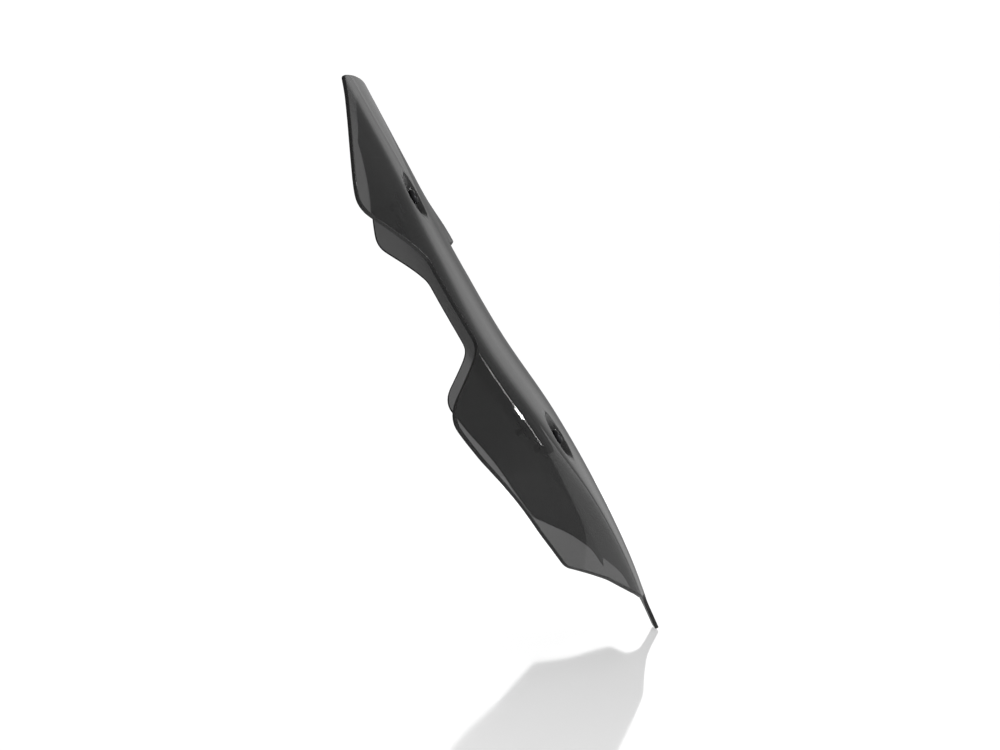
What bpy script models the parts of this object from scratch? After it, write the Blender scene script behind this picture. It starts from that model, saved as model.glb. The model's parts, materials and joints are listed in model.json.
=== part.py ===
"""Motorcycle windshield screen: one formed sheet on four grommet and collar mounts.

Metres, +Z up, +X forward, +Y to the rider's left. The origin is the tip of the tongue.
"""
import math

import bmesh
import bpy
import numpy as np
from mathutils import Matrix, Vector

# Sheet, and the gap left between pieces that bear on each other
SHEET = 0.0025
FIT = 0.0003

# Front of the sheet on its centre line: height, set-back
CENTRE = (
    (0.0000, 0.0000),
    (0.0103, 0.0046),
    (0.0233, 0.0105),
    (0.0486, 0.0201),
    (0.0986, 0.0437),
    (0.1486, 0.0723),
    (0.1986, 0.1064),
    (0.2486, 0.1353),
    (0.3086, 0.1674),
    (0.3736, 0.2024),
)

# Crown across the sheet: height, radius
CROWN = (
    (0.0000, 0.760),
    (0.1236, 0.760),
    (0.2486, 0.760),
    (0.2936, 0.800),
    (0.3336, 0.900),
    (0.3736, 1.050),
)

# Soft crease at the front of the lower wing: height, half width, fall, softness
FRONT_CREASE = (
    (0.0000, 0.115, 0.42, 0.006),
    (0.0586, 0.112, 0.42, 0.006),
    (0.0986, 0.128, 0.42, 0.006),
    (0.1386, 0.163, 0.45, 0.006),
    (0.1736, 0.173, 0.50, 0.006),
    (0.2036, 0.176, 0.40, 0.006),
    (0.2486, 0.176, 0.00, 0.010),
    (0.3736, 0.176, 0.00, 0.010),
)

# Sharp crease of the lower wing, which turns into the round bend of the upper wing
WING_CREASE = (
    (0.0000, 0.135, 0.00, 0.002),
    (0.0586, 0.138, 0.05, 0.002),
    (0.0986, 0.148, 0.20, 0.002),
    (0.1386, 0.171, 0.60, 0.002),
    (0.1736, 0.178, 0.75, 0.002),
    (0.2036, 0.177, 0.65, 0.005),
    (0.2486, 0.168, 0.55, 0.018),
    (0.2936, 0.160, 0.65, 0.026),
    (0.3336, 0.160, 0.35, 0.026),
    (0.3736, 0.160, 0.00, 0.026),
)

# Outline of the left half from the tongue up to the top: half width, height, corner radius
TONGUE_HALF = 0.0090
TONGUE_LENGTH = 0.0178
WING_HALF = 0.2018
TOP = 0.3619
OUTLINE = (
    (0.0000, 0.0000, 0.000),
    (TONGUE_HALF, 0.0000, 0.0007),
    (0.0105, TONGUE_LENGTH, 0.012),
    (0.0450, 0.0293, 0.150),
    (0.1080, 0.0356, 0.150),
    (0.1363, 0.0567, 0.100),
    (0.1704, 0.0787, 0.014),
    (0.1828, 0.1125, 0.150),
    (0.1978, 0.1432, 0.090),
    (WING_HALF, 0.1821, 0.013),
    (0.1711, 0.2027, 0.009),
    (0.1619, 0.2501, 0.010),
    (0.1888, 0.2881, 0.014),
    (0.1730, 0.3307, 0.120),
    (0.1522, 0.3559, 0.010),
    (0.1180, 0.3579, 0.250),
    (0.0550, 0.3609, 0.500),
    (0.0000, TOP, 0.000),
)
CORNER_STEPS = 5

# Vent: the sheet is slit, raised above the slit as a hood and sunk below it as a ramp
VENT_HEIGHT = 0.2574
VENT_HALF = 0.0420
VENT_GAP = 0.0029
HOOD_RISE = 0.0030
HOOD_LENGTH = 0.0430
RAMP_DROP = 0.0018
RAMP_LENGTH = 0.0240

# Screw mounts: half width, height
MOUNTS = {"upper": (0.1100, 0.2860), "lower": (0.1230, 0.1396)}
SIDES = {"left": 1.0, "right": -1.0}

# Dimple pressed into the sheet around each mount
DIMPLE_DEPTH = 0.0048
SEAT_R = 0.0092
DIMPLE_R = 0.0185

# Screw with a domed head and a hexagon socket
SCREW_R = 0.0025
SCREW_LENGTH = 0.0160
SCREW_POINT = 0.0006
HEAD_R = 0.00475
HEAD_HEIGHT = 0.00275
HEAD_RIM = 0.0006
HEAD_TOP_R = 0.0024
SOCKET_ACROSS = 0.0030
SOCKET_DEPTH = 0.0016

# Flanged collar around the screw
COLLAR_BORE_R = SCREW_R + FIT
COLLAR_WALL = 0.0008
COLLAR_R = COLLAR_BORE_R + COLLAR_WALL
COLLAR_FLANGE_R = 0.0068
COLLAR_FLANGE = 0.0012

# Grommet around the collar, in the hole of the sheet
GROMMET_BORE_R = COLLAR_R + FIT
GROMMET_WALL = 0.0012
GROMMET_WAIST_R = GROMMET_BORE_R + GROMMET_WALL
GROMMET_LIP_R = 0.0070
GROMMET_LIP = 0.0012
GROMMET_EDGE = 0.0005
HOLE_R = GROMMET_WAIST_R + FIT

# Washer under the screw head
WASHER_R = 0.0060
WASHER = 0.0008
WASHER_EDGE = 0.0002

# Heights of the stack above the seat, along the screw axis
GROMMET_FRONT = FIT + GROMMET_LIP
GROMMET_BACK = -SHEET - FIT - GROMMET_LIP
COLLAR_SHOULDER = GROMMET_BACK - FIT
COLLAR_BACK = COLLAR_SHOULDER - COLLAR_FLANGE
WASHER_BOTTOM = GROMMET_FRONT + FIT
HEAD_BOTTOM = WASHER_BOTTOM + WASHER + FIT

# Fineness of the sheet and of the round pieces: finer across the dimples and around the vent
COLUMN_ZONES = (
    (MOUNTS["upper"][0] - DIMPLE_R, 6),
    (MOUNTS["lower"][0] + DIMPLE_R, 15),
    (WING_HALF, 8),
)
ROW_ZONES = (
    (MOUNTS["lower"][1] - DIMPLE_R, 8),
    (MOUNTS["lower"][1] + DIMPLE_R, 10),
    (VENT_HEIGHT - RAMP_LENGTH, 6),
    (VENT_HEIGHT, 4),
    (MOUNTS["upper"][1] + DIMPLE_R, 13),
    (TOP, 6),
)
TURN_STEPS = 24
HOLE_STEPS = 32
DOME_STEPS = 4
NUDGE = 0.00001
NEAR = 0.000001


def clear_scene():
    for old in list(bpy.data.objects):
        bpy.data.objects.remove(old, do_unlink=True)


def make_material(name, colour, roughness, metallic=0.0, alpha=1.0):
    material = bpy.data.materials.new(name)
    material.use_nodes = True
    shader = material.node_tree.nodes["Principled BSDF"]
    shader.inputs["Base Color"].default_value = (*colour, 1.0)
    shader.inputs["Roughness"].default_value = roughness
    shader.inputs["Metallic"].default_value = metallic
    shader.inputs["Alpha"].default_value = alpha
    return material


def smooth(t):
    t = np.clip(t, 0.0, 1.0)
    return t * t * t * (t * (6.0 * t - 15.0) + 10.0)


def along(stations, column, height):
    """Smooth curve through one column of a table of stations."""
    table = np.array(stations)
    xs = table[:, 0]
    ys = table[:, column]
    slopes = np.gradient(ys, xs)
    i = np.clip(np.searchsorted(xs, height) - 1, 0, len(xs) - 2)
    span = xs[i + 1] - xs[i]
    t = (height - xs[i]) / span
    start = (1.0 + 2.0 * t) * (1.0 - t) ** 2 * ys[i] + t * (1.0 - t) ** 2 * span * slopes[i]
    end = t * t * (3.0 - 2.0 * t) * ys[i + 1] + t * t * (t - 1.0) * span * slopes[i + 1]
    return start + end


def bend(half, height, crease):
    """Depth that one crease adds outside its line."""
    line = along(crease, 1, height)
    fall = along(crease, 2, height)
    soft = along(crease, 3, height)
    ramp = 0.5 * (half - line + np.sqrt((half - line) ** 2 + soft ** 2))
    start = 0.5 * (-line + np.sqrt(line ** 2 + soft ** 2))
    return fall * (ramp - start)


def plain_front(side, height):
    """Front of the sheet without its dimples and its vent."""
    half = np.abs(side)
    depth = half ** 2 / (2.0 * along(CROWN, 1, height))
    depth = depth + bend(half, height, FRONT_CREASE) + bend(half, height, WING_CREASE)
    lean = (along(CENTRE, 1, height + NUDGE) - along(CENTRE, 1, height - NUDGE)) / (2.0 * NUDGE)
    square = np.sqrt(1.0 + lean ** 2)
    x = -along(CENTRE, 1, height) - depth / square
    z = height - depth * lean / square
    return np.stack([x, side, z], axis=-1)


def outward(front, side, height):
    """Unit normal of a front, pointing forward."""
    across = front(side + NUDGE, height) - front(side - NUDGE, height)
    upward = front(side, height + NUDGE) - front(side, height - NUDGE)
    normal = np.cross(across, upward)
    return normal / np.linalg.norm(normal, axis=-1, keepdims=True)


def vent_fade(side):
    return np.clip(1.0 - (side / VENT_HALF) ** 2, 0.0, 1.0)


def vent_lift(side, height):
    """Rise of the hood above the slit and drop of the ramp below it."""
    above = height - VENT_HEIGHT
    hood = HOOD_RISE * (1.0 - smooth(above / HOOD_LENGTH))
    ramp = -RAMP_DROP * (1.0 - smooth(-above / RAMP_LENGTH))
    lift = np.where(above > 0.0, hood, ramp)
    return lift * vent_fade(side) ** 2


def seat_frame(half, height, sign):
    """Centre and outward axis of the flat seat in one dimple."""
    side = np.array([sign * half])
    level = np.array([height])
    axis = outward(plain_front, side, level)[0]
    centre = plain_front(side, level)[0] - DIMPLE_DEPTH * axis
    return centre, axis


def dish(radius):
    """Share of the full depth at a radius from the screw axis: flat seat, soft shoulder."""
    t = np.clip((radius - SEAT_R) / (DIMPLE_R - SEAT_R), 0.0, 1.0)
    return (1.0 - t) ** 3 * (1.0 + 3.0 * t)


def formed_front(side, height):
    """Front of the finished sheet."""
    lift = vent_lift(side, height)
    points = plain_front(side, height)
    points = points + lift[:, None] * outward(plain_front, side, height)
    for half, level in MOUNTS.values():
        for sign in SIDES.values():
            centre, axis = seat_frame(half, level, sign)
            offset = points - centre
            above = offset @ axis
            radius = np.linalg.norm(offset - above[:, None] * axis, axis=1)
            press = dish(radius)
            points = points - (press * above)[:, None] * axis
    return points


def rounded(corners):
    """Outline with each corner turned into a short curve."""
    outline = [corners[0][:2]]
    for before, corner, after in zip(corners, corners[1:], corners[2:]):
        here = np.array(corner[:2])
        to_before = np.array(before[:2]) - here
        to_after = np.array(after[:2]) - here
        length_before = np.linalg.norm(to_before)
        length_after = np.linalg.norm(to_after)
        to_before = to_before / length_before
        to_after = to_after / length_after
        half_angle = 0.5 * math.acos(np.clip(to_before @ to_after, -1.0, 1.0))
        reach = corner[2] / math.tan(half_angle)
        reach = min(reach, 0.45 * length_before, 0.45 * length_after)
        start = here + reach * to_before
        end = here + reach * to_after
        for k in range(CORNER_STEPS + 1):
            t = k / CORNER_STEPS
            outline.append((1 - t) ** 2 * start + 2 * t * (1 - t) * here + t * t * end)
    outline.append(corners[-1][:2])
    return [(float(p[0]), float(p[1])) for p in outline]


def zone_lines(zones):
    lines = []
    low = 0.0
    for high, count in zones:
        lines += [low + (high - low) * k / count for k in range(count)]
        low = high
    return lines


def cut_line(bm, point, normal):
    geometry = bm.verts[:] + bm.edges[:] + bm.faces[:]
    bmesh.ops.bisect_plane(bm, geom=geometry, dist=NEAR, plane_co=point, plane_no=normal)


def cut_grid(bm):
    columns = zone_lines(COLUMN_ZONES) + [VENT_HALF]
    for half in columns:
        for sign in SIDES.values():
            cut_line(bm, (sign * half, 0.0, 0.0), (1.0, 0.0, 0.0))
    for height in zone_lines(ROW_ZONES):
        cut_line(bm, (0.0, height, 0.0), (0.0, 1.0, 0.0))


def on_slit(vertex):
    return abs(vertex.co.y - VENT_HEIGHT) < NEAR and abs(vertex.co.x) < VENT_HALF + NEAR


def open_slit(bm):
    """Slit the blank along the vent and draw the two edges apart."""
    edges = [e for e in bm.edges if on_slit(e.verts[0]) and on_slit(e.verts[1])]
    bmesh.ops.split_edges(bm, edges=edges)
    for vertex in [v for v in bm.verts if on_slit(v)]:
        middle = sum(f.calc_center_median().y for f in vertex.link_faces) / len(vertex.link_faces)
        gap = VENT_GAP * float(vent_fade(np.array(vertex.co.x)))
        vertex.co.y += math.copysign(0.5 * gap, middle - VENT_HEIGHT)


def sheet_mesh():
    """Flat blank cut to its outline, slit for the vent and formed to shape."""
    left = rounded(OUTLINE)
    right = [(-half, height) for half, height in reversed(left[1:-1])]
    bm = bmesh.new()
    bm.faces.new([bm.verts.new((half, height, 0.0)) for half, height in left + right])
    cut_grid(bm)
    open_slit(bm)
    many_sided = [f for f in bm.faces if len(f.verts) > 4]
    bmesh.ops.triangulate(bm, faces=many_sided)
    flat = np.array([v.co[:2] for v in bm.verts])
    for vertex, point in zip(bm.verts, formed_front(flat[:, 0], flat[:, 1])):
        vertex.co = point
    mesh = bpy.data.meshes.new("screen")
    bm.to_mesh(mesh)
    bm.free()
    return mesh


def turned_mesh(name, profile):
    """Solid of revolution about its own Z from a closed profile of radius and height."""
    bm = bmesh.new()
    points = [bm.verts.new((radius, 0.0, height)) for radius, height in profile]
    edges = [bm.edges.new(pair) for pair in zip(points, points[1:] + points[:1])
             if max(pair[0].co.x, pair[1].co.x) > 0.0]
    bmesh.ops.spin(bm, geom=points + edges, axis=(0.0, 0.0, 1.0), cent=(0.0, 0.0, 0.0),
                   angle=2.0 * math.pi, steps=TURN_STEPS, use_merge=True)
    bmesh.ops.remove_doubles(bm, verts=bm.verts[:], dist=NEAR)
    bmesh.ops.recalc_face_normals(bm, faces=bm.faces[:])
    mesh = bpy.data.meshes.new(name)
    bm.to_mesh(mesh)
    bm.free()
    return mesh


def add_object(name, mesh, material, parent=None):
    piece = bpy.data.objects.new(name, mesh)
    bpy.context.collection.objects.link(piece)
    piece.parent = parent
    mesh.shade_smooth()
    mesh.set_sharp_from_angle(angle=math.radians(35.0))
    if material:
        mesh.materials.append(material)
    return piece


def add_cutter(name, radius, depth, steps, middle, parent):
    bm = bmesh.new()
    bmesh.ops.create_cone(bm, cap_ends=True, segments=steps, radius1=radius, radius2=radius,
                          depth=depth, matrix=Matrix.Translation((0.0, 0.0, middle)))
    mesh = bpy.data.meshes.new(name)
    bm.to_mesh(mesh)
    bm.free()
    cutter = add_object(name, mesh, None, parent)
    cutter.hide_render = True
    cutter.display_type = "WIRE"
    return cutter


def cut_with(piece, cutter):
    cut = piece.modifiers.new(cutter.name, "BOOLEAN")
    cut.operation = "DIFFERENCE"
    cut.solver = "EXACT"
    cut.object = cutter


def add_mount(row, side):
    """Empty on one seat, with its Z along the screw axis."""
    half, height = MOUNTS[row]
    centre, axis = seat_frame(half, height, SIDES[side])
    mount = bpy.data.objects.new(f"mount_{row}_{side}", None)
    bpy.context.collection.objects.link(mount)
    mount.location = Vector(centre)
    mount.rotation_euler = Vector(axis).to_track_quat("Z", "Y").to_euler()
    return mount


def grommet_profile():
    out = GROMMET_LIP_R
    edge = GROMMET_EDGE
    top = GROMMET_FRONT
    foot = GROMMET_BACK
    return [
        (GROMMET_BORE_R, foot),
        (out - edge, foot),
        (out, foot + edge),
        (out, foot + GROMMET_LIP),
        (GROMMET_WAIST_R, foot + GROMMET_LIP),
        (GROMMET_WAIST_R, top - GROMMET_LIP),
        (out, top - GROMMET_LIP),
        (out, top - edge),
        (out - edge, top),
        (GROMMET_BORE_R, top),
    ]


def collar_profile():
    return [
        (COLLAR_BORE_R, COLLAR_BACK),
        (COLLAR_FLANGE_R, COLLAR_BACK),
        (COLLAR_FLANGE_R, COLLAR_SHOULDER),
        (COLLAR_R, COLLAR_SHOULDER),
        (COLLAR_R, GROMMET_FRONT),
        (COLLAR_BORE_R, GROMMET_FRONT),
    ]


def washer_profile():
    top = WASHER_BOTTOM + WASHER
    return [
        (COLLAR_BORE_R, WASHER_BOTTOM),
        (WASHER_R, WASHER_BOTTOM),
        (WASHER_R, top - WASHER_EDGE),
        (WASHER_R - WASHER_EDGE, top),
        (COLLAR_BORE_R, top),
    ]


def screw_profile():
    tip = HEAD_BOTTOM - SCREW_LENGTH
    rim = HEAD_BOTTOM + HEAD_RIM
    rise = HEAD_HEIGHT - HEAD_RIM
    profile = [
        (0.0, tip),
        (SCREW_R - SCREW_POINT, tip),
        (SCREW_R, tip + SCREW_POINT),
        (SCREW_R, HEAD_BOTTOM),
        (HEAD_R, HEAD_BOTTOM),
    ]
    for k in range(DOME_STEPS + 1):
        turn = 0.5 * math.pi * k / DOME_STEPS
        radius = HEAD_TOP_R + (HEAD_R - HEAD_TOP_R) * math.cos(turn)
        profile.append((radius, rim + rise * math.sin(turn)))
    profile.append((0.0, rim + rise))
    return profile


def add_screw(place, mount, material):
    screw = add_object(f"screw_{place}", turned_mesh("screw", screw_profile()), material, mount)
    radius = 0.5 * SOCKET_ACROSS / math.cos(math.pi / 6.0)
    top = HEAD_BOTTOM + HEAD_HEIGHT
    socket = add_cutter(f"socket_{place}", radius, 2.0 * SOCKET_DEPTH, 6, top, mount)
    cut_with(screw, socket)


def main():
    clear_scene()
    smoked = make_material("smoked acrylic", (0.035, 0.037, 0.040), 0.05, alpha=0.55)
    rubber = make_material("black rubber", (0.012, 0.012, 0.013), 0.70)
    alloy = make_material("anodised alloy", (0.62, 0.63, 0.65), 0.30, metallic=1.0)
    nylon = make_material("black nylon", (0.020, 0.020, 0.021), 0.45)
    steel = make_material("blackened steel", (0.10, 0.10, 0.105), 0.35, metallic=1.0)

    screen = add_object("screen", sheet_mesh(), smoked)
    wall = screen.modifiers.new("sheet", "SOLIDIFY")
    wall.thickness = SHEET
    wall.offset = -1.0
    wall.use_even_offset = True
    wall.use_quality_normals = True

    for row in MOUNTS:
        for side in SIDES:
            place = f"{row}_{side}"
            mount = add_mount(row, side)
            hole = add_cutter(f"hole_{place}", HOLE_R, 6.0 * SHEET, HOLE_STEPS, 0.0, mount)
            cut_with(screen, hole)
            add_object(f"grommet_{place}", turned_mesh("grommet", grommet_profile()), rubber, mount)
            add_object(f"collar_{place}", turned_mesh("collar", collar_profile()), alloy, mount)
            add_object(f"washer_{place}", turned_mesh("washer", washer_profile()), nylon, mount)
            add_screw(place, mount, steel)


main()
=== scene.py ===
import json
import math

import bpy
import numpy as np
from mathutils import Matrix, Vector


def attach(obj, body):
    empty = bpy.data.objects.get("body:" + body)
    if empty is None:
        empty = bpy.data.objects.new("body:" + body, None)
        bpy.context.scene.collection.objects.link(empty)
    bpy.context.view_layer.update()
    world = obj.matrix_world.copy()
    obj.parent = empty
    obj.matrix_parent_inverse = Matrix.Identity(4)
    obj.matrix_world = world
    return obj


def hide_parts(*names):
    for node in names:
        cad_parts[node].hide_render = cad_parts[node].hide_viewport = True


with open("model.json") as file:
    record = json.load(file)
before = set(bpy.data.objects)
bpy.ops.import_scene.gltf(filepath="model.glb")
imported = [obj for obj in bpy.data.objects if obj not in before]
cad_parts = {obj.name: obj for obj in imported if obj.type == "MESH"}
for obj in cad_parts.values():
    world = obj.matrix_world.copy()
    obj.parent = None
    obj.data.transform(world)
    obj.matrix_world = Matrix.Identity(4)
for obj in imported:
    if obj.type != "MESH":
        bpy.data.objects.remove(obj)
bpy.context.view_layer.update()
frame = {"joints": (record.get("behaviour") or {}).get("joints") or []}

places = ["upper_left", "upper_right", "lower_left", "lower_right"]
turnJoint = {joint["name"]: joint for joint in frame["joints"]}
tiny = 1e-5                                              # step for slopes, 0.01 mm


# Small helpers

def deselect():
    if bpy.context.object and bpy.context.object.mode != "OBJECT":
        bpy.ops.object.mode_set(mode="OBJECT")
    bpy.ops.object.select_all(action="DESELECT")


def pick(piece):
    deselect()
    piece.select_set(True)
    bpy.context.view_layer.objects.active = piece


def newest(name):
    piece = bpy.context.object
    piece.name = name
    piece.data.name = name
    return piece


def applyModifier(piece, kind, **settings):
    pick(piece)
    made = piece.modifiers.new(kind.lower(), kind)
    for key, value in settings.items():
        setattr(made, key, value)
    bpy.ops.object.modifier_apply(modifier=made.name)


def placeOf(place):
    joint = turnJoint["turn_" + place]
    turn = Vector(joint["axis"]).to_track_quat("Z", "Y").to_matrix().to_4x4()
    return Matrix.Translation(Vector(joint["pos_m"])) @ turn


def smooth(t):
    t = np.clip(t, 0.0, 1.0)
    return t * t * t * (t * (6.0 * t - 15.0) + 10.0)


# Materials

def linear(hexColour):
    rgb = [int(hexColour[k:k + 2], 16) / 255.0 for k in (1, 3, 5)]
    rgb = [c / 12.92 if c <= 0.04045 else ((c + 0.055) / 1.055) ** 2.4 for c in rgb]
    return (*rgb, 1.0)


def addNode(tree, kind, settings=None, values=None, links=None):
    made = tree.nodes.new(kind)
    for key, value in (settings or {}).items():
        setattr(made, key, value)
    for key, value in (values or {}).items():
        made.inputs[key].default_value = value
    for key, source in (links or {}).items():
        tree.links.new(source, made.inputs[key])
    return made


def newMaterial(name, sockets):
    material = bpy.data.materials.new(name)
    material.use_nodes = True
    tree = material.node_tree
    shader, output = tree.nodes["Principled BSDF"], tree.nodes["Material Output"]
    for key, value in sockets.items():
        shader.inputs[key].default_value = value
    where = addNode(tree, "ShaderNodeTexCoord").outputs["Object"]
    return material, tree, shader, output, where


acrylicLook = {"ior": 1.49, "face": "#ffffff", "dye": "#000000",
               "depth": 830.0,                           # absorption per metre
               "hazeMm": 18.0, "gloss": (0.012, 0.030), "waveMm": 45.0, "waveHeightMm": 0.02,
               "edge": "#4c4c4c", "markMm": 0.8, "markHeightMm": 0.02, "edgeGloss": (0.22, 0.38)}


def makeSmokedAcrylic():
    # Cast acrylic sheet dyed grey and pressed over a mould: clear gloss, faint waves, dark by its depth
    look = acrylicLook
    material, tree, shader, output, where = newMaterial("smokedAcrylic", {
        "Base Color": linear(look["face"]), "IOR": look["ior"], "Transmission Weight": 1.0})
    haze = addNode(tree, "ShaderNodeTexNoise", values={"Scale": 1000.0 / look["hazeMm"], "Detail": 2.0},
                   links={"Vector": where})
    gloss = addNode(tree, "ShaderNodeMapRange", links={"Value": haze.outputs["Fac"]}, values={
        "From Min": 0.3, "From Max": 0.7, "To Min": look["gloss"][0], "To Max": look["gloss"][1]})
    wave = addNode(tree, "ShaderNodeTexNoise", values={"Scale": 1000.0 / look["waveMm"], "Detail": 1.0},
                   links={"Vector": where})
    bump = addNode(tree, "ShaderNodeBump", values={"Distance": look["waveHeightMm"] / 1000.0},
                   links={"Height": wave.outputs["Fac"]})
    dye = addNode(tree, "ShaderNodeVolumeAbsorption",
                  values={"Color": linear(look["dye"]), "Density": look["depth"]})
    tree.links.new(gloss.outputs["Result"], shader.inputs["Roughness"])
    tree.links.new(bump.outputs["Normal"], shader.inputs["Normal"])
    tree.links.new(dye.outputs["Volume"], output.inputs["Volume"])
    return material


def makeRoutedEdge():
    # The same acrylic where a router cut it to shape: satin, with fine cutter marks
    look = acrylicLook
    material, tree, shader, output, where = newMaterial("routedAcrylicEdge", {
        "Base Color": linear(look["edge"]), "IOR": look["ior"], "Transmission Weight": 0.5})
    marks = addNode(tree, "ShaderNodeTexNoise", values={"Scale": 1000.0 / look["markMm"], "Detail": 2.0},
                    links={"Vector": where})
    gloss = addNode(tree, "ShaderNodeMapRange", links={"Value": marks.outputs["Fac"]}, values={
        "From Min": 0.3, "From Max": 0.7, "To Min": look["edgeGloss"][0], "To Max": look["edgeGloss"][1]})
    bump = addNode(tree, "ShaderNodeBump", values={"Distance": look["markHeightMm"] / 1000.0},
                   links={"Height": marks.outputs["Fac"]})
    dye = addNode(tree, "ShaderNodeVolumeAbsorption",
                  values={"Color": linear(look["dye"]), "Density": look["depth"]})
    tree.links.new(gloss.outputs["Result"], shader.inputs["Roughness"])
    tree.links.new(bump.outputs["Normal"], shader.inputs["Normal"])
    tree.links.new(dye.outputs["Volume"], output.inputs["Volume"])
    return material


hardwareLooks = {
    # Moulded EPDM rubber: matt black with a dusty bloom
    "epdmRubber": {"dark": "#161617", "light": "#232325", "metal": 0.0, "cloudMm": 3.0, "gloss": (0.58, 0.78),
                   "grainMm": 0.35, "grainHeightMm": 0.020},
    # Clear anodised aluminium turned on a lathe: pale satin with fine tool marks
    "anodisedAluminium": {"dark": "#aeb1b5", "light": "#c9ccd0", "metal": 1.0, "cloudMm": 0.8,
                          "gloss": (0.26, 0.40), "grainMm": 0.25, "grainHeightMm": 0.006},
    # Moulded black nylon: a dull plastic with a soft sheen
    "blackNylon": {"dark": "#17171a", "light": "#212124", "metal": 0.0, "cloudMm": 1.5, "gloss": (0.40, 0.55),
                   "grainMm": 0.50, "grainHeightMm": 0.010},
    # Black oxide on steel: dark and thinly oiled, a little brighter where the oxide is thin
    "blackOxideSteel": {"dark": "#2a2a2c", "light": "#4a4a4d", "metal": 1.0, "cloudMm": 0.9,
                        "gloss": (0.28, 0.44), "grainMm": 0.30, "grainHeightMm": 0.006},
}


def makeHardwareFinish(name):
    look = hardwareLooks[name]
    material, tree, shader, output, where = newMaterial(name, {"Metallic": look["metal"]})
    cloud = addNode(tree, "ShaderNodeTexNoise", values={"Scale": 1000.0 / look["cloudMm"], "Detail": 2.0},
                    links={"Vector": where})
    tone = addNode(tree, "ShaderNodeMix", settings={"data_type": "RGBA"},
                   values={6: linear(look["dark"]), 7: linear(look["light"])}, links={0: cloud.outputs["Fac"]})
    gloss = addNode(tree, "ShaderNodeMapRange", links={"Value": cloud.outputs["Fac"]}, values={
        "From Min": 0.3, "From Max": 0.7, "To Min": look["gloss"][0], "To Max": look["gloss"][1]})
    grain = addNode(tree, "ShaderNodeTexNoise", values={"Scale": 1000.0 / look["grainMm"], "Detail": 2.0},
                    links={"Vector": where})
    bump = addNode(tree, "ShaderNodeBump", values={"Distance": look["grainHeightMm"] / 1000.0},
                   links={"Height": grain.outputs["Fac"]})
    tree.links.new(tone.outputs[2], shader.inputs["Base Color"])
    tree.links.new(gloss.outputs["Result"], shader.inputs["Roughness"])
    tree.links.new(bump.outputs["Normal"], shader.inputs["Normal"])
    return material


# Screen: a flat blank is gridded to its outline, slit for the vent and formed

screenForm = {
    "sheet": 0.0025,
    "edgeRound": 0.0005,
    "centre": [(0.0000, 0.0000), (0.0103, 0.0046), (0.0233, 0.0105), (0.0486, 0.0201),   # height, set-back
               (0.0986, 0.0437), (0.1486, 0.0723), (0.1986, 0.1064), (0.2486, 0.1353),
               (0.3086, 0.1674), (0.3736, 0.2024)],
    "crown": [(0.0000, 0.760), (0.1236, 0.760), (0.2486, 0.760), (0.2936, 0.800), (0.3336, 0.900),
              (0.3736, 1.050)],                                                        # height, radius
    "frontCrease": [(0.0000, 0.115, 0.42, 0.006), (0.0586, 0.112, 0.42, 0.006), (0.0986, 0.128, 0.42, 0.006),
                    (0.1386, 0.163, 0.45, 0.006), (0.1736, 0.173, 0.50, 0.006), (0.2036, 0.176, 0.40, 0.006),
                    (0.2486, 0.176, 0.00, 0.010), (0.3736, 0.176, 0.00, 0.010)],  # height, half, fall, soft
    "wingCrease": [(0.0000, 0.135, 0.00, 0.002), (0.0586, 0.138, 0.05, 0.002), (0.0986, 0.148, 0.20, 0.002),
                   (0.1386, 0.171, 0.60, 0.002), (0.1736, 0.178, 0.75, 0.002), (0.2036, 0.177, 0.65, 0.005),
                   (0.2486, 0.168, 0.55, 0.018), (0.2936, 0.160, 0.65, 0.026), (0.3336, 0.160, 0.35, 0.026),
                   (0.3736, 0.160, 0.00, 0.026)],
    "outline": [(0.0000, 0.0000, 0.000), (0.0090, 0.0000, 0.0007), (0.0105, 0.0178, 0.012),
                (0.0450, 0.0293, 0.150), (0.1080, 0.0356, 0.150), (0.1363, 0.0567, 0.100),
                (0.1704, 0.0787, 0.014), (0.1828, 0.1125, 0.150), (0.1978, 0.1432, 0.090),
                (0.2018, 0.1821, 0.013), (0.1711, 0.2027, 0.009), (0.1619, 0.2501, 0.010),
                (0.1888, 0.2881, 0.014), (0.1730, 0.3307, 0.120), (0.1522, 0.3559, 0.010),
                (0.1180, 0.3579, 0.250), (0.0550, 0.3609, 0.500), (0.0000, 0.3619, 0.000)],   # half, height, radius
    "tongueTip": 1, "tongueRoot": 2, "bottomCorner": 6, "topCorner": 14,   # corners of the outline
    "cornerSteps": 12,
    "columns": 118, "tongueColumns": 6, "wingFrom": (0.42, 0.60),   # share of columns, of width
    "rows": 160, "tongueRows": 11, "ventRow": 109,
    "slipFrom": 0.002, "slipOver": 0.030, "slipRows": 24.0,   # how the rows near the vent run level
    "ventHeight": 0.2574, "ventHalf": 0.0420, "ventGap": 0.0029,
    "hoodRise": 0.0030, "hoodLength": 0.0430, "rampDrop": 0.0018, "rampLength": 0.0240,
    "mounts": [(0.1100, 0.2860), (0.1230, 0.1396)],                                    # half width, height
    "dimpleDepth": 0.0048, "seatR": 0.0092, "dimpleR": 0.0185, "holeR": 0.0054,
}


def along(stations, column, height):
    table = np.array(stations)
    xs, ys = table[:, 0], table[:, column]
    slopes = np.gradient(ys, xs)
    i = np.clip(np.searchsorted(xs, height) - 1, 0, len(xs) - 2)
    span = xs[i + 1] - xs[i]
    t = (height - xs[i]) / span
    start = (1 + 2 * t) * (1 - t) ** 2 * ys[i] + t * (1 - t) ** 2 * span * slopes[i]
    end = t * t * (3 - 2 * t) * ys[i + 1] + t * t * (t - 1) * span * slopes[i + 1]
    return start + end


def bend(half, height, crease):
    line, fall, soft = (along(crease, k, height) for k in (1, 2, 3))
    ramp = 0.5 * (half - line + np.sqrt((half - line) ** 2 + soft ** 2))
    start = 0.5 * (-line + np.sqrt(line ** 2 + soft ** 2))
    return fall * (ramp - start)


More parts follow.
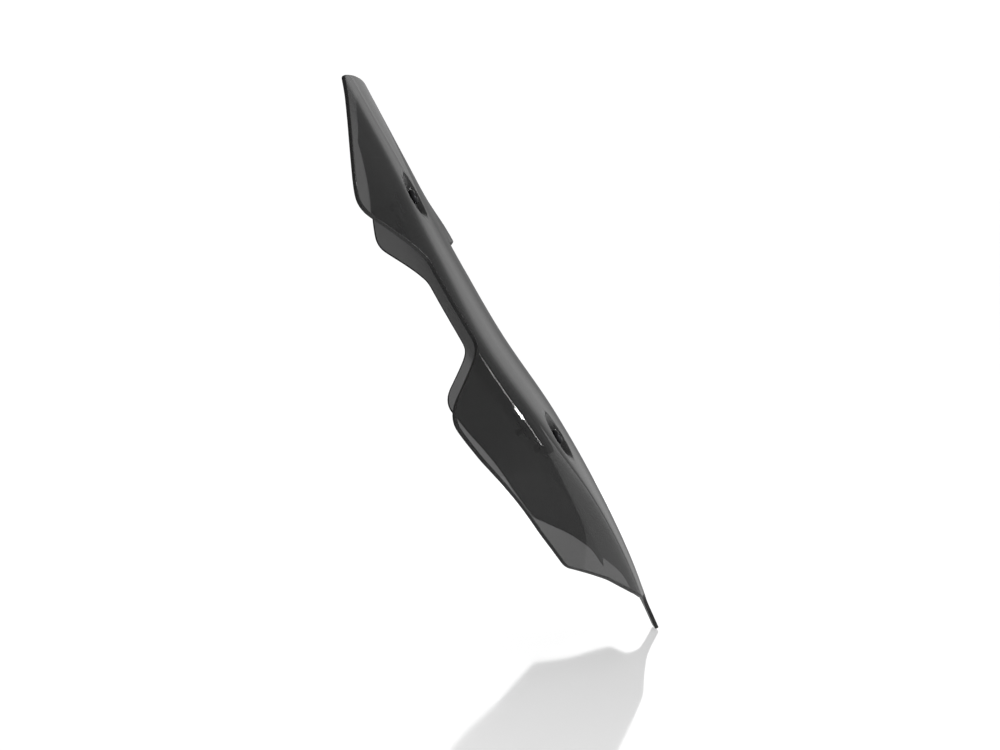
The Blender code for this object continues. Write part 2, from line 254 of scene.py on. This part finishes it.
def plainFront(side, height):
    f = screenForm
    half = np.abs(side)
    depth = half ** 2 / (2.0 * along(f["crown"], 1, height))
    depth = depth + bend(half, height, f["frontCrease"]) + bend(half, height, f["wingCrease"])
    lean = (along(f["centre"], 1, height + tiny) - along(f["centre"], 1, height - tiny)) / (2 * tiny)
    square = np.sqrt(1.0 + lean ** 2)
    x = -along(f["centre"], 1, height) - depth / square
    z = height - depth * lean / square
    return np.stack([x, side, z], axis=-1)


def outward(side, height):
    across = plainFront(side + tiny, height) - plainFront(side - tiny, height)
    upward = plainFront(side, height + tiny) - plainFront(side, height - tiny)
    normal = np.cross(across, upward)
    return normal / np.linalg.norm(normal, axis=-1, keepdims=True)


def ventFade(side):
    return np.clip(1.0 - (side / screenForm["ventHalf"]) ** 2, 0.0, 1.0)


def formedFront(side, height):
    f = screenForm
    above = height - f["ventHeight"]
    hood = f["hoodRise"] * (1.0 - smooth(above / f["hoodLength"]))
    ramp = -f["rampDrop"] * (1.0 - smooth(-above / f["rampLength"]))
    lift = np.where(above > 0.0, hood, ramp) * ventFade(side) ** 2
    points = plainFront(side, height) + lift[:, None] * outward(side, height)
    for half, level in f["mounts"]:
        for sign in (1.0, -1.0):
            seatSide, seatHeight = np.array([sign * half]), np.array([level])
            axis = outward(seatSide, seatHeight)[0]
            centre = plainFront(seatSide, seatHeight)[0] - f["dimpleDepth"] * axis
            offset = points - centre
            over = offset @ axis
            radius = np.linalg.norm(offset - over[:, None] * axis, axis=1)
            t = np.clip((radius - f["seatR"]) / (f["dimpleR"] - f["seatR"]), 0.0, 1.0)
            press = (1 - t) ** 3 * (1 + 3 * t)               # flat seat, soft shoulder
            points = points - (press * over)[:, None] * axis
    return points


def roundedOutline():
    corners, steps = screenForm["outline"], screenForm["cornerSteps"]
    points, middles, ends = [np.array(corners[0][:2])], {}, {}
    for k in range(1, len(corners) - 1):
        here = np.array(corners[k][:2])
        back, ahead = np.array(corners[k - 1][:2]) - here, np.array(corners[k + 1][:2]) - here
        backLength, aheadLength = np.linalg.norm(back), np.linalg.norm(ahead)
        back, ahead = back / backLength, ahead / aheadLength
        halfAngle = 0.5 * math.acos(np.clip(back @ ahead, -1.0, 1.0))
        reach = min(corners[k][2] / math.tan(halfAngle), 0.45 * backLength, 0.45 * aheadLength)
        start, end = here + reach * back, here + reach * ahead
        middles[k] = len(points) + steps // 2
        for t in np.linspace(0.0, 1.0, steps + 1):
            points.append((1 - t) ** 2 * start + 2 * t * (1 - t) * here + t * t * end)
        ends[k] = len(points) - 1
    points.append(np.array(corners[-1][:2]))
    return np.array(points), middles, ends


def spaced(line, shares):
    run = np.concatenate([[0.0], np.cumsum(np.linalg.norm(np.diff(line, axis=0), axis=1))])
    marks = np.asarray(shares) * run[-1]
    return np.stack([np.interp(marks, run, line[:, 0]), np.interp(marks, run, line[:, 1])], axis=1)


def evenly(line, count):
    return spaced(line, np.linspace(0.0, 1.0, count + 1))


def fillPatch(bottom, top, middle, rim, shares):
    u = np.asarray(shares)[:, None, None]
    v = np.linspace(0.0, 1.0, len(middle))[None, :, None]
    ruled = (1 - v) * bottom[:, None] + v * top[:, None] + (1 - u) * middle[None] + u * rim[None]
    corners = (1 - u) * (1 - v) * bottom[0] + u * (1 - v) * bottom[-1] + (1 - u) * v * top[0] + u * v * top[-1]
    return ruled - corners


def blankPatches():
    f = screenForm
    points, middles, ends = roundedOutline()
    tip, root = middles[f["tongueTip"]], ends[f["tongueRoot"]]
    low, high = middles[f["bottomCorner"]], middles[f["topCorner"]]
    rootPoint = points[root]
    ofColumns, ofWidth = f["wingFrom"]
    shares = np.interp(np.linspace(0.0, 1.0, f["columns"] + 1), (0.0, ofColumns, 1.0), (0.0, ofWidth, 1.0))
    tab = f["tongueColumns"]
    seam = evenly(np.array([[0.0, rootPoint[1]], rootPoint]), tab)
    onward = (shares[tab:] - shares[tab]) / (1.0 - shares[tab])
    bottom = np.concatenate([seam, spaced(points[root:low + 1], onward)[1:]])
    top = spaced(points[high:][::-1], shares)
    rim = evenly(points[low:high + 1], f["rows"])
    below = np.linspace(rootPoint[1], f["ventHeight"], f["ventRow"] + 1)
    over = np.linspace(f["ventHeight"], points[-1][1], f["rows"] - f["ventRow"] + 1)
    heights = np.concatenate([below, over[1:]])
    panel = fillPatch(bottom, top, np.stack([0 * heights, heights], axis=1), rim, shares)
    beyond = panel[:, f["ventRow"], 0] - f["ventHalf"] - f["slipFrom"]
    slip = (f["ventHeight"] - panel[:, f["ventRow"], 1]) * (1.0 - smooth(beyond / f["slipOver"]))
    rowFade = 1.0 - smooth(np.abs(np.arange(f["rows"] + 1) - f["ventRow"]) / f["slipRows"])
    panel[:, :, 1] += slip[:, None] * rowFade[None]
    tongueBottom = evenly(points[:tip + 1], tab)
    tongueRim = evenly(points[tip:root + 1], f["tongueRows"])
    levels = np.linspace(0.0, rootPoint[1], f["tongueRows"] + 1)
    tongueMiddle = np.stack([0 * levels, levels], axis=1)
    tongue = fillPatch(tongueBottom, seam, tongueMiddle, tongueRim, np.linspace(0.0, 1.0, tab + 1))
    return panel, tongue


def layGrid(name, patch):
    columns, rows = patch.shape[0] - 1, patch.shape[1] - 1
    deselect()
    bpy.ops.mesh.primitive_grid_add(x_subdivisions=2 * columns, y_subdivisions=rows, size=2.0)
    piece = newest(name)
    flat = np.empty(len(piece.data.vertices) * 3)
    piece.data.vertices.foreach_get("co", flat)
    flat = flat.reshape(-1, 3)
    i = np.rint(flat[:, 0] * columns).astype(int)
    j = np.rint((flat[:, 1] + 1.0) * 0.5 * rows).astype(int)
    spot = patch[np.abs(i), j]
    flat = np.stack([np.sign(i) * spot[:, 0], spot[:, 1], 0 * spot[:, 0]], axis=1)
    piece.data.vertices.foreach_set("co", flat.ravel())
    piece.data.update()
    return piece


def slitVent(piece):
    f = screenForm
    mesh = piece.data
    spots = np.array([v.co[:] for v in mesh.vertices])
    onSlit = (np.abs(spots[:, 1] - f["ventHeight"]) < 1e-6) & (np.abs(spots[:, 0]) < f["ventHalf"])
    pick(piece)
    bpy.ops.object.mode_set(mode="EDIT")
    bpy.ops.mesh.select_mode(type="EDGE")
    bpy.ops.mesh.select_all(action="DESELECT")
    bpy.ops.object.mode_set(mode="OBJECT")
    for edge in mesh.edges:
        edge.select = bool(onSlit[edge.vertices[0]] and onSlit[edge.vertices[1]])
    bpy.ops.object.mode_set(mode="EDIT")
    bpy.ops.mesh.edge_split(type="EDGE")
    bpy.ops.object.mode_set(mode="OBJECT")
    total, count = np.zeros(len(mesh.vertices)), np.zeros(len(mesh.vertices))
    for face in mesh.polygons:
        for k in face.vertices:
            total[k] += face.center[1]
            count[k] += 1
    for vertex in mesh.vertices:
        if abs(vertex.co.y - f["ventHeight"]) < 1e-6 and abs(vertex.co.x) < f["ventHalf"]:
            gap = f["ventGap"] * float(ventFade(np.array(vertex.co.x)))
            vertex.co.y += math.copysign(0.5 * gap, total[vertex.index] / count[vertex.index] - f["ventHeight"])


def makeScreen(faceMaterial, edgeMaterial):
    f = screenForm
    panel, tongue = blankPatches()
    sheet, tab = layGrid("smokedSheet", panel), layGrid("tongueTab", tongue)
    pick(sheet)
    tab.select_set(True)
    bpy.ops.object.join()
    bpy.ops.object.mode_set(mode="EDIT")
    bpy.ops.mesh.select_all(action="SELECT")
    bpy.ops.mesh.remove_doubles(threshold=1e-6)
    bpy.ops.object.mode_set(mode="OBJECT")
    slitVent(sheet)
    flat = np.array([v.co[:2] for v in sheet.data.vertices])
    sheet.data.vertices.foreach_set("co", formedFront(flat[:, 0], flat[:, 1]).ravel())
    sheet.data.update()
    sheet.data.materials.clear()
    sheet.data.materials.append(faceMaterial)
    sheet.data.materials.append(edgeMaterial)
    applyModifier(sheet, "SOLIDIFY", thickness=f["sheet"], offset=-1.0, use_even_offset=True,
                  use_quality_normals=True, material_offset_rim=1)
    applyModifier(sheet, "BEVEL", width=f["edgeRound"], segments=3, limit_method="ANGLE",
                  angle_limit=math.radians(50.0), use_clamp_overlap=False, material=1,
                  miter_outer="MITER_ARC")
    for place in places:
        deselect()
        bpy.ops.mesh.primitive_cylinder_add(vertices=64, radius=f["holeR"], depth=8.0 * f["sheet"])
        cutter = newest("holeCutter")
        cutter.data.transform(placeOf(place))
        applyModifier(sheet, "BOOLEAN", object=cutter, operation="DIFFERENCE", solver="EXACT")
        bpy.data.objects.remove(cutter, do_unlink=True)
    pick(sheet)
    bpy.ops.object.shade_smooth_by_angle(angle=math.radians(40.0))
    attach(sheet, "screen_set")
    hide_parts("screen")
    print("screen made,", len(sheet.data.polygons), "faces")
    return sheet


# Turned hardware, modelled once about Z and copied to the four seats

def lathe(name, profile, steps):
    deselect()
    bpy.ops.mesh.primitive_circle_add(vertices=len(profile), fill_type="NOTHING")
    piece = newest(name)
    for vertex, (radius, height) in zip(piece.data.vertices, profile):
        vertex.co = (radius, 0.0, height)
    bpy.ops.object.mode_set(mode="EDIT")
    bpy.ops.mesh.select_all(action="SELECT")
    bpy.ops.mesh.spin(steps=steps, angle=2.0 * math.pi, center=(0, 0, 0), axis=(0, 0, 1))
    bpy.ops.mesh.select_all(action="SELECT")
    bpy.ops.mesh.remove_doubles(threshold=1e-6)
    bpy.ops.mesh.normals_make_consistent(inside=False)
    bpy.ops.object.mode_set(mode="OBJECT")
    return piece


def arc(centreR, centreZ, radius, fromDeg, toDeg, steps):
    turns = [math.radians(fromDeg + (toDeg - fromDeg) * k / steps) for k in range(steps + 1)]
    return [(centreR + radius * math.cos(t), centreZ + radius * math.sin(t)) for t in turns]


def copyToSeats(model, name, material, node, body):
    pick(model)
    bpy.ops.object.shade_smooth_by_angle(angle=math.radians(35.0))
    model.data.materials.clear()
    model.data.materials.append(material)
    for place in places:
        piece = model.copy()
        piece.data = model.data.copy()
        piece.name = piece.data.name = name + "_" + place
        bpy.context.collection.objects.link(piece)
        piece.data.transform(placeOf(place))
        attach(piece, body.format(place=place))
        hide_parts(node + "_" + place)
    bpy.data.objects.remove(model, do_unlink=True)
    print(name, "made and copied to the seats")


grommetSize = {"bore": 0.0039, "waist": 0.0051, "lip": 0.0070, "front": 0.0015, "seat": 0.0003,
               "back": -0.0040, "shoulder": -0.0028, "round": 0.0006, "ease": 0.0003, "steps": 48}


def makeGrommet():
    g = grommetSize
    r, lip, e = g["round"], g["lip"], g["ease"]
    profile = [(g["bore"] + e, g["back"])]
    profile += arc(lip - r, g["back"] + r, r, -90, 0, 5)
    profile += arc(lip - e, g["shoulder"] - e, e, 0, 90, 3)
    profile += [(g["waist"], g["shoulder"]), (g["waist"], g["seat"])]
    profile += arc(lip - e, g["seat"] + e, e, -90, 0, 3)
    profile += arc(lip - r, g["front"] - r, r, 0, 90, 5)
    profile += [(g["bore"] + e, g["front"]), (g["bore"], g["front"] - e), (g["bore"], g["back"] + e)]
    return lathe("grommetModel", profile, g["steps"])


collarSize = {"bore": 0.0028, "tube": 0.0036, "flange": 0.0068, "front": 0.0015, "shoulder": -0.0043,
              "back": -0.0055, "edge": 0.00025, "steps": 48}


def makeCollar():
    c = collarSize
    e = c["edge"]
    profile = [(c["bore"] + e, c["back"]), (c["flange"] - e, c["back"]), (c["flange"], c["back"] + e),
               (c["flange"], c["shoulder"] - e), (c["flange"] - e, c["shoulder"]), (c["tube"], c["shoulder"]),
               (c["tube"], c["front"] - e), (c["tube"] - e, c["front"]), (c["bore"] + e, c["front"]),
               (c["bore"], c["front"] - e), (c["bore"], c["back"] + e)]
    return lathe("collarModel", profile, c["steps"])


washerSize = {"bore": 0.0028, "out": 0.0060, "bottom": 0.0018, "top": 0.0026, "edge": 0.0002, "steps": 48}


def makeWasher():
    w = washerSize
    e = w["edge"]
    profile = [(w["bore"], w["bottom"]), (w["out"] - e, w["bottom"]), (w["out"], w["bottom"] + e),
               (w["out"], w["top"] - e), (w["out"] - e, w["top"]), (w["bore"] + e, w["top"]),
               (w["bore"], w["top"] - e)]
    return lathe("washerModel", profile, w["steps"])


screwSize = {"shank": 0.0025, "root": 0.0021, "pitch": 0.0008, "plain": 0.0040, "tip": -0.0131, "point": 0.0006,
             "head": 0.00475, "headTop": 0.0024, "bottom": 0.0029, "top": 0.00565, "rim": 0.0006,
             "socketAcross": 0.0030, "socketDepth": 0.0016, "domeSteps": 10, "steps": 48}


def makeScrew():
    s = screwSize
    profile = [(0.0, s["tip"]), (s["root"] - s["point"], s["tip"])]
    height = s["tip"] + 0.5 * s["point"]
    while height + s["pitch"] < s["bottom"] - s["plain"]:
        profile += [(s["root"], height), (s["shank"], height + 0.4 * s["pitch"]),
                    (s["shank"], height + 0.55 * s["pitch"])]
        height += s["pitch"]
    profile += [(s["root"], height), (s["shank"], height + 0.5 * s["pitch"]), (s["shank"], s["bottom"])]
    profile += [(s["head"] - 0.0002, s["bottom"]), (s["head"], s["bottom"] + 0.0002)]
    rim = s["bottom"] + s["rim"]
    for k in range(s["domeSteps"] + 1):
        turn = 0.5 * math.pi * k / s["domeSteps"]
        profile.append((s["headTop"] + (s["head"] - s["headTop"]) * math.cos(turn),
                        rim + (s["top"] - rim) * math.sin(turn)))
    profile.append((0.0, s["top"]))
    screw = lathe("screwModel", profile, s["steps"])
    deselect()
    bpy.ops.mesh.primitive_cylinder_add(vertices=6, radius=0.5 * s["socketAcross"] / math.cos(math.pi / 6),
                                        depth=2.0 * s["socketDepth"], location=(0, 0, s["top"]))
    socket = newest("socketCutter")
    applyModifier(screw, "BOOLEAN", object=socket, operation="DIFFERENCE", solver="EXACT")
    bpy.data.objects.remove(socket, do_unlink=True)
    return screw


# Stage: a pale floor that sweeps up into a white backdrop, camera and soft light

stageSize = {"half": 9.0, "floor": -0.0014, "wall": 2.8, "wallHeight": 4.5, "sweep": 1.2, "sweepSteps": 24,
             "colour": "#ffffff", "paper": "#bcbcbc", "glow": 0.80, "ior": 1.55, "cloudMm": 40.0,
             "gloss": (0.05, 0.07), "polishTo": (0.15, 0.45)}   # the polish fades out between these depths


def makeStage():
    s = stageSize
    # Lit white paper sweep with a polished front: even white that mirrors what stands on it
    material, tree, shader, output, where = newMaterial("paleStudioFloor", {
        "Base Color": linear(s["paper"]), "Roughness": 1.0, "Specular IOR Level": 0.0,
        "Emission Color": linear(s["colour"]), "Emission Strength": s["glow"]})
    cloud = addNode(tree, "ShaderNodeTexNoise", values={"Scale": 1000.0 / s["cloudMm"]}, links={"Vector": where})
    gloss = addNode(tree, "ShaderNodeMapRange", links={"Value": cloud.outputs["Fac"]}, values={
        "From Min": 0.3, "From Max": 0.7, "To Min": s["gloss"][0], "To Max": s["gloss"][1]})
    polish = addNode(tree, "ShaderNodeBsdfGlossy", links={"Roughness": gloss.outputs["Result"]})
    share = addNode(tree, "ShaderNodeFresnel", values={"IOR": s["ior"]})
    depth = addNode(tree, "ShaderNodeSeparateXYZ", links={"Vector": where})
    fade = addNode(tree, "ShaderNodeMapRange", links={"Value": depth.outputs["Y"]}, values={
        "From Min": s["polishTo"][0], "From Max": s["polishTo"][1], "To Min": 1.0, "To Max": 0.0})
    near = addNode(tree, "ShaderNodeMath", settings={"operation": "MULTIPLY"},
                   links={0: share.outputs["Fac"], 1: fade.outputs["Result"]})
    both = addNode(tree, "ShaderNodeMixShader", links={0: near.outputs["Value"], 1: shader.outputs["BSDF"],
                   2: polish.outputs["BSDF"]})
    tree.links.new(both.outputs["Shader"], output.inputs["Surface"])
    deselect()
    bpy.ops.mesh.primitive_plane_add(size=2.0 * s["half"], location=(0, s["wall"] - s["half"], s["floor"]))
    floor = newest("studioFloor")
    bpy.ops.object.transform_apply(location=True)
    bpy.ops.object.mode_set(mode="EDIT")
    bpy.ops.mesh.select_mode(type="EDGE")
    bpy.ops.mesh.select_all(action="DESELECT")
    bpy.ops.object.mode_set(mode="OBJECT")
    for edge in floor.data.edges:
        edge.select = all(floor.data.vertices[k].co.y > s["wall"] - 0.01 for k in edge.vertices)
    bpy.ops.object.mode_set(mode="EDIT")
    bpy.ops.mesh.extrude_edges_move(TRANSFORM_OT_translate={"value": (0, 0, s["wallHeight"])})
    bpy.ops.object.mode_set(mode="OBJECT")
    for edge in floor.data.edges:
        ends = [floor.data.vertices[k].co for k in edge.vertices]
        edge.select = all(p.y > s["wall"] - 0.01 and p.z < s["floor"] + 0.01 for p in ends)
    bpy.ops.object.mode_set(mode="EDIT")
    bpy.ops.mesh.bevel(offset=s["sweep"], segments=s["sweepSteps"])
    bpy.ops.object.mode_set(mode="OBJECT")
    bpy.ops.object.shade_smooth()
    floor.data.materials.append(material)
    floor.visible_glossy = False                             # the gloss of the screen sees the dim room instead
    stageOnly = bpy.data.collections.new("stageOnly")        # what the stage lamps light
    stageOnly.objects.link(floor)
    return stageOnly


cameraSetting = {"place": (-0.1513, -1.259, 0.1816), "aim": (65.6 / 1863.0, 1.0, -16.6 / 1863.0), "lens": 67.07}


def makeCamera():
    camera = bpy.data.objects.new("photoCamera", bpy.data.cameras.new("photoCamera"))
    bpy.context.collection.objects.link(camera)
    camera.location = cameraSetting["place"]
    camera.rotation_euler = Vector(cameraSetting["aim"]).to_track_quat("-Z", "Y").to_euler()
    camera.data.lens = cameraSetting["lens"]
    camera.data.sensor_width = 36.0
    camera.data.clip_start = 0.01
    bpy.context.scene.camera = camera


lights = [
    # Panel that the floor mirrors
    {"name": "floorSheen", "place": (-0.1, 1.55, 0.74), "aim": (-0.1, 0.0, 0.74), "size": (5.0, 1.5),
     "watts": 28, "stage": True, "through": False},
    # Boxes that the gloss shows: a bright one ahead, a tall one beside it, wide dim ones to the side and behind
    {"name": "keyBox", "place": (1.435, 0.095, 0.942), "aim": (-0.100, -0.176, 0.148), "size": (0.55, 0.09),
     "watts": 3.1, "stage": False, "through": True},
    {"name": "tallBox", "place": (1.483, 0.249, 0.890), "aim": (-0.095, -0.174, 0.140), "size": (0.245, 0.57),
     "watts": 1.55, "stage": False, "through": True},
    {"name": "sideBox", "place": (1.416, 1.242, 0.257), "aim": (-0.060, -0.145, 0.100), "size": (1.58, 0.67),
     "watts": 0.83, "stage": False, "through": True},
    {"name": "rearBox", "place": (-0.068, 2.03, 0.84), "aim": (-0.180, -0.108, 0.325), "size": (0.62, 0.35),
     "watts": 0.10, "stage": False, "through": False},
]
roomLook = {"across": (0.961, -0.276, 0.0),   # the room is judged along this line, -1 behind to 1 ahead
            "stops": [(-0.90, 0.03), (-0.60, 0.06), (-0.30, 0.18), (-0.12, 0.20), (-0.03, 0.42), (0.04, 0.42),
                      (0.11, 0.20), (0.18, 0.17), (0.30, 0.20), (0.45, 0.29), (0.60, 0.36), (0.78, 0.40),
                      (0.90, 0.50), (1.00, 0.62)]}


def makeLights(stageOnly):
    for item in lights:
        lamp = bpy.data.lights.new(item["name"], "AREA")
        lamp.shape = "RECTANGLE"
        lamp.size, lamp.size_y = item["size"]
        lamp.energy = item["watts"]
        holder = bpy.data.objects.new(item["name"], lamp)
        bpy.context.collection.objects.link(holder)
        if item["stage"]:
            holder.light_linking.receiver_collection = stageOnly
        holder.visible_camera = False
        holder.visible_transmission = item["through"]
        holder.location = item["place"]
        aim = Vector(item["aim"]) - Vector(item["place"])
        holder.rotation_euler = aim.to_track_quat("-Z", "Y").to_euler()
    world = bpy.data.worlds.new("studioRoom")
    bpy.context.scene.world = world
    world.use_nodes = True
    tree = world.node_tree
    toward = addNode(tree, "ShaderNodeTexCoord").outputs["Generated"]
    facing = addNode(tree, "ShaderNodeVectorMath", settings={"operation": "DOT_PRODUCT"},
                     values={1: roomLook["across"]}, links={0: toward})
    share = addNode(tree, "ShaderNodeMapRange", values={"From Min": -1.0},
                    links={"Value": facing.outputs["Value"]})
    room = addNode(tree, "ShaderNodeValToRGB", links={"Fac": share.outputs["Result"]})
    ramp = room.color_ramp
    while len(ramp.elements) < len(roomLook["stops"]):
        ramp.elements.new(1.0)
    for stop, (dot, grey) in zip(ramp.elements, roomLook["stops"]):
        stop.position = 0.5 * (dot + 1.0)
        stop.color = (grey, grey, grey, 1.0)
    tree.links.new(room.outputs["Color"], tree.nodes["Background"].inputs["Color"])
    bpy.context.scene.view_settings.view_transform = "Standard"


makeCamera()
makeLights(makeStage())
print("stage, camera and lights set")
makeScreen(makeSmokedAcrylic(), makeRoutedEdge())
for make, name, finish, node, slotName, body in (
        (makeGrommet, "rubberGrommet", "epdmRubber", "grommet", "black_rubber", "screen_set"),
        (makeCollar, "flangedCollar", "anodisedAluminium", "collar", "anodised_alloy", "screen_set"),
        (makeWasher, "nylonWasher", "blackNylon", "washer", "black_nylon", "washer_{place}_set"),
        (makeScrew, "buttonScrew", "blackOxideSteel", "screw", "blackened_steel", "screw_{place}_set")):
    copyToSeats(make(), name, makeHardwareFinish(finish), node, body)
